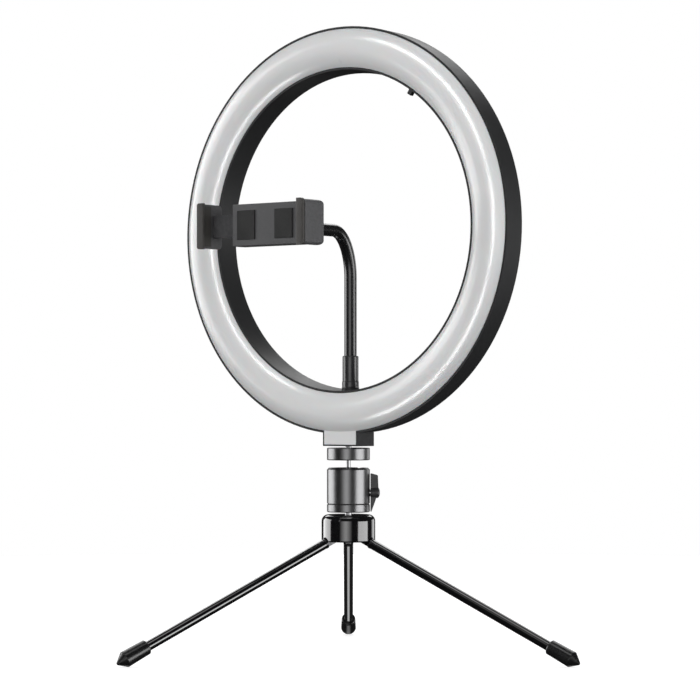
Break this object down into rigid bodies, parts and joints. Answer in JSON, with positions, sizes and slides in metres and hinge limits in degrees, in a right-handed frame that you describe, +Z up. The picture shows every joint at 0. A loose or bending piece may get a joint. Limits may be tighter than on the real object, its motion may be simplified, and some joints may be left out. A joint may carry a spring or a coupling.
{
  "type": "ring light",
  "caption": "Ring lamp on a ball head and folding mini tripod, with a spring phone clamp on a gooseneck in the middle of the ring.",
  "frame": {"origin": "on the floor, below the tripod's centre, where the axis of hub and ball head meets the plane of the feet", "axes": "+Z up; the lamp faces -Y and its ring lies in the XZ plane; +X is to the right as seen looking along +Y, and the clamp's fixed jaw is on that side"},
  "size_m": [0.2919, 0.2808, 0.4019],
  "materials": {
    "housing": "satin black moulded plastic",
    "diffuser": "glossy milky white",
    "board": "white solder mask",
    "led_warm": "yellow phosphor",
    "led_white": "pale phosphor",
    "screw": "zinc plated",
    "dark_screw": "blackened steel",
    "insert": "plain brass",
    "gland": "matte black rubber",
    "lead": "insulated wire",
    "ferrule": "satin black",
    "neck": "glossy black sleeve",
    "clamp": "charcoal, fine texture",
    "pad": "soft brownish grey",
    "spring": "spring steel",
    "head_metal": "polished gunmetal",
    "stem_metal": "polished",
    "nylon": "natural nylon",
    "knob": "black moulded plastic",
    "hub": "gloss black",
    "yoke": "black",
    "leg": "gloss black",
    "tongue": "plated steel",
    "foot": "satin black rubber"
  },
  "bodies": {
    "tripod": {"hub_cap": "hub", "hub_stud": "stem_metal", "leg_yoke": "yoke", "yoke_screws": "screw", "leg_pin_back": "screw", "leg_pin_left": "screw", "leg_pin_right": "screw", "base_ring": "head_metal", "pan_clip": "spring"},
    "leg_back": {"leg_tube_back": "leg", "leg_tongue_back": "tongue", "foot_back": "foot"},
    "leg_left": {"leg_tube_left": "leg", "leg_tongue_left": "tongue", "foot_left": "foot"},
    "leg_right": {"leg_tube_right": "leg", "leg_tongue_right": "tongue", "foot_right": "foot"},
    "head": {"head_body": "head_metal", "ball_seat": "nylon", "bottom_plate": "head_metal"},
    "brake": {"brake_shoe": "nylon"},
    "knob": {"lock_knob": "knob", "knob_screw": "screw"},
    "ball": {"ball_stem": "stem_metal"},
    "washer": {"friction_washer": "gland"},
    "wheel": {"lock_wheel": "head_metal"},
    "lamp": {"rear_housing": "housing", "diffuser": "diffuser", "led_board": "board", "warm_leds": "led_warm", "white_leds": "led_white", "board_screws": "screw", "back_screws": "dark_screw", "lamp_insert": "insert", "neck_insert": "insert", "cable_gland": "gland", "lead_wires": "lead"},
    "neck_1": {"lower_ferrule": "ferrule", "gooseneck_1": "neck"},
    "neck_2": {"gooseneck_2": "neck"},
    "neck_3": {"gooseneck_3": "neck"},
    "neck_4": {"gooseneck_4": "neck"},
    "neck_5": {"gooseneck_5": "neck"},
    "neck_6": {"gooseneck_6": "neck"},
    "neck_7": {"gooseneck_7": "neck", "upper_ferrule": "ferrule"},
    "nut": {"ball_nut": "knob"},
    "clamp": {"clamp_body": "clamp", "clamp_cover": "clamp", "cover_screws": "dark_screw", "jaw_springs": "spring", "fixed_jaw_pad": "pad", "rest_pad": "gland"},
    "jaw": {"sliding_jaw": "clamp", "sliding_jaw_pad": "pad"}
  },
  "joints": [
    {"name": "leg_fold_back", "type": "hinge", "parent": "tripod", "child": "leg_back", "pos_m": [-0.00556, 0.00708, 0.07573], "axis": [-0.7864, -0.6177, 0], "range_deg": [0, 63.5]},
    {"name": "leg_fold_left", "type": "hinge", "parent": "tripod", "child": "leg_left", "pos_m": [-0.00335, -0.00835, 0.07573], "axis": [0.9282, -0.3722, 0], "range_deg": [0, 63.5]},
    {"name": "leg_fold_right", "type": "hinge", "parent": "tripod", "child": "leg_right", "pos_m": [0.00891, 0.00128, 0.07573], "axis": [-0.1418, 0.9899, 0], "range_deg": [0, 63.5]},
    {"name": "head_pan", "type": "hinge", "parent": "tripod", "child": "head", "pos_m": [0, 0, 0.09678], "axis": [0, 0, 1], "continuous": true},
    {"name": "brake_slide", "type": "slide", "parent": "head", "child": "brake", "axis": [0.788, 0.6157, 0], "range_m": [0, 0.0008]},
    {"name": "knob_turn", "type": "hinge", "parent": "brake", "child": "knob", "pos_m": [0.01103, 0.00862, 0.10428], "axis": [0.788, 0.6157, 0], "range_deg": [0, 360]},
    {"name": "ball_tilt", "type": "hinge", "parent": "head", "child": "ball", "pos_m": [0, 0, 0.10558], "axis": [-1, 0, 0], "range_deg": [-25, 90]},
    {"name": "washer_slide", "type": "slide", "parent": "ball", "child": "washer", "axis": [0, 0, 1], "range_m": [-0.00016, 0.00085]},
    {"name": "wheel_turn", "type": "hinge", "parent": "washer", "child": "wheel", "pos_m": [0, 0, 0.12908], "axis": [0, 0, 1], "range_deg": [-45, 240]},
    {"name": "lamp_spin", "type": "hinge", "parent": "ball", "child": "lamp", "pos_m": [0, 0, 0.138], "axis": [0, 0, 1], "continuous": true},
    {"name": "neck_swivel", "type": "hinge", "parent": "lamp", "child": "neck_1", "pos_m": [0, 0.0022, 0.172], "axis": [0, 0, 1], "range_deg": [-40, 40]},
    {"name": "neck_bend_1", "type": "hinge", "parent": "neck_1", "child": "neck_2", "pos_m": [0, 0.0022, 0.202], "axis": [1, 0, 0], "range_deg": [-25, 9]},
    {"name": "neck_bend_2", "type": "hinge", "parent": "neck_2", "child": "neck_3", "pos_m": [0, 0.0022, 0.223], "axis": [1, 0, 0], "range_deg": [-25, 9]},
    {"name": "neck_bend_3", "type": "hinge", "parent": "neck_3", "child": "neck_4", "pos_m": [0, 0.00214, 0.244], "axis": [1, 0, 0], "range_deg": [-25, 9]},
    {"name": "neck_bend_4", "type": "hinge", "parent": "neck_4", "child": "neck_5", "pos_m": [0, -0.00376, 0.2639], "axis": [1, 0, 0], "range_deg": [-25, 9]},
    {"name": "neck_bend_5", "type": "hinge", "parent": "neck_5", "child": "neck_6", "pos_m": [0, -0.02191, 0.2716], "axis": [1, 0, 0], "range_deg": [-25, 9]},
    {"name": "neck_bend_6", "type": "hinge", "parent": "neck_6", "child": "neck_7", "pos_m": [0, -0.04291, 0.2716], "axis": [1, 0, 0], "range_deg": [-25, 9]},
    {"name": "clamp_tilt", "type": "hinge", "parent": "neck_7", "child": "nut", "pos_m": [0, -0.07, 0.2716], "axis": [1, 0, 0], "range_deg": [-25, 20]},
    {"name": "clamp_roll", "type": "hinge", "parent": "nut", "child": "clamp", "pos_m": [0, -0.07, 0.2716], "axis": [0, 1, 0], "continuous": true},
    {"name": "jaw_slide", "type": "slide", "parent": "clamp", "child": "jaw", "axis": [-1, 0, 0], "range_m": [-0.016, 0.008], "deforming": ["jaw_springs"]}
  ],
  "couplings": [
    {"joint": "brake_slide", "follows": "knob_turn", "m_per_rad": 0.00012732},
    {"joint": "washer_slide", "follows": "wheel_turn", "m_per_rad": 0.00020213}
  ]
}
